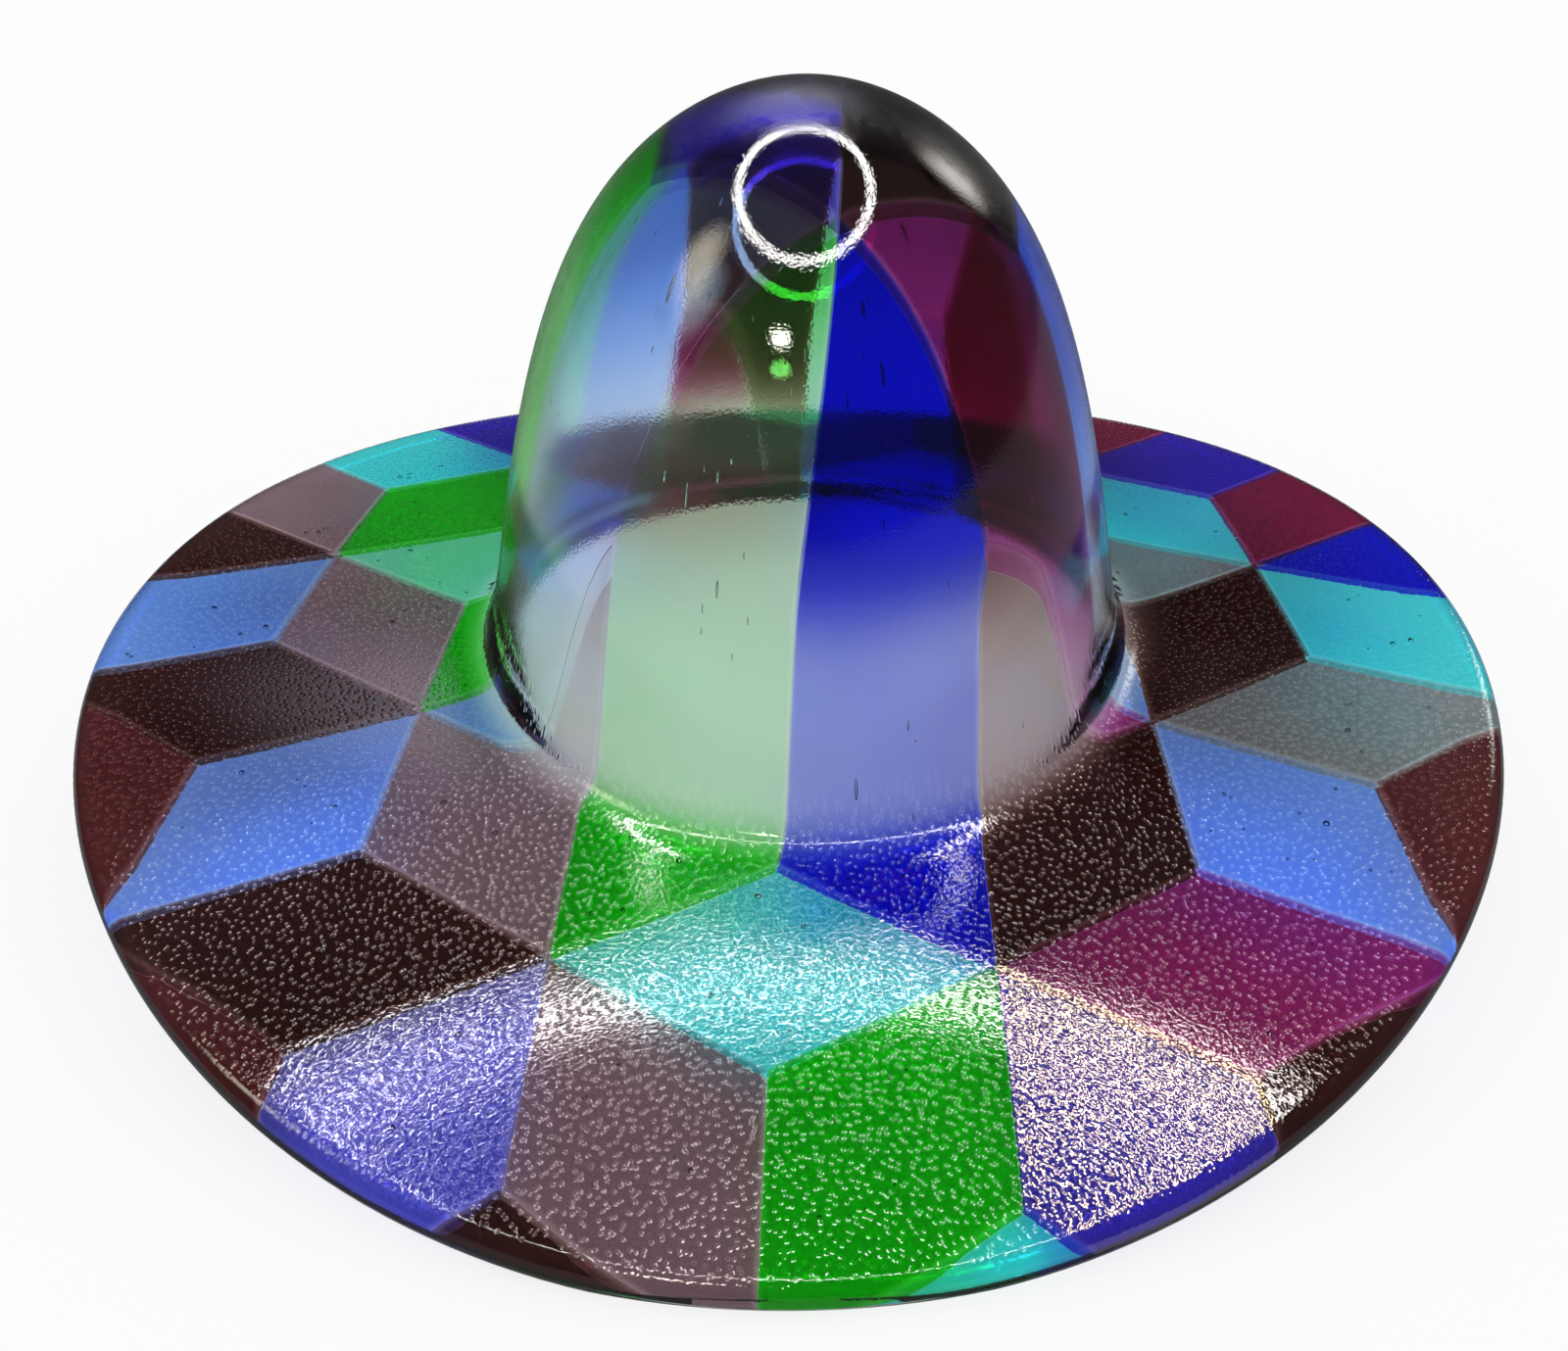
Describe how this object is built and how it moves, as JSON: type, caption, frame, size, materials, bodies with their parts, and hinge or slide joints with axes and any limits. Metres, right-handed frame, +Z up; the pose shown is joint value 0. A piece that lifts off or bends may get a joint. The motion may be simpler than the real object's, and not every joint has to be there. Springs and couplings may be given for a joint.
{
  "type": "glass hat",
  "caption": "Decorative hat of kiln-formed glass: coloured rhombic tiles in a tumbling-blocks pattern, fused to a clear sheet and sagged into a bell crown with a wavy brim.",
  "frame": {"origin": "on the surface the hat rests on, under the centre of the round brim", "axes": "+Z up through the crown, -Y towards the drooping front of the brim, +X to the hat's right as seen from the front, where the brim curls up"},
  "size_m": [0.304, 0.304, 0.1418],
  "materials": {
    "clear_glass": "gloss",
    "magenta_glass": "gloss",
    "umber_glass": "gloss",
    "indigo_glass": "gloss",
    "sky_glass": "gloss",
    "green_glass": "gloss",
    "cobalt_glass": "gloss",
    "crimson_glass": "gloss",
    "cornflower_glass": "gloss",
    "cyan_glass": "gloss",
    "smoke_glass": "gloss",
    "aqua_glass": "gloss",
    "mauve_glass": "gloss",
    "maroon_glass": "gloss"
  },
  "bodies": {
    "root": {"clear_sheet": "clear_glass", "crown_right": "magenta_glass", "crown_back_right": "umber_glass", "crown_back_left": "indigo_glass", "crown_left": "sky_glass", "crown_front_left": "green_glass", "crown_front_right": "cobalt_glass", "crown_top_back": "umber_glass", "wall_left": "green_glass", "wall_back_left": "umber_glass", "wall_back": "sky_glass", "wall_back_right": "crimson_glass", "wall_right": "cornflower_glass", "foot_front": "cyan_glass", "foot_front_right": "umber_glass", "foot_right": "smoke_glass", "foot_back_right": "cornflower_glass", "foot_back_left": "crimson_glass", "foot_left_rear": "cornflower_glass", "foot_left": "aqua_glass", "foot_front_left": "mauve_glass", "brim_front_mauve": "mauve_glass", "brim_front_green": "green_glass", "brim_front_cobalt": "cobalt_glass", "brim_front_cornflower": "cornflower_glass", "brim_front_left_umber": "umber_glass", "brim_front_right_magenta": "magenta_glass", "brim_left_cornflower": "cornflower_glass", "brim_left_umber": "umber_glass", "brim_left_mauve": "mauve_glass", "brim_left_sky": "sky_glass", "brim_left_rear_umber": "umber_glass", "brim_left_rear_mauve": "mauve_glass", "brim_left_rear_green": "green_glass", "brim_left_rear_cyan": "cyan_glass", "brim_right_cornflower": "cornflower_glass", "brim_right_smoke": "smoke_glass", "brim_right_umber": "umber_glass", "brim_right_cyan": "cyan_glass", "brim_right_rear_cobalt": "cobalt_glass", "brim_right_rear_crimson": "crimson_glass", "brim_right_rear_cyan": "cyan_glass", "brim_right_rear_indigo": "indigo_glass", "brim_back_crimson": "crimson_glass", "brim_back_green": "green_glass", "brim_back_cornflower": "cornflower_glass", "brim_back_magenta": "magenta_glass", "brim_back_mauve": "mauve_glass", "brim_back_indigo": "indigo_glass", "rim_front_umber": "umber_glass", "rim_front_cyan": "cyan_glass", "rim_front_right_umber": "umber_glass", "rim_right_maroon": "maroon_glass", "rim_back_aqua": "aqua_glass", "rim_left_maroon": "maroon_glass", "rim_front_left_maroon": "maroon_glass"}
  },
  "joints": []
}
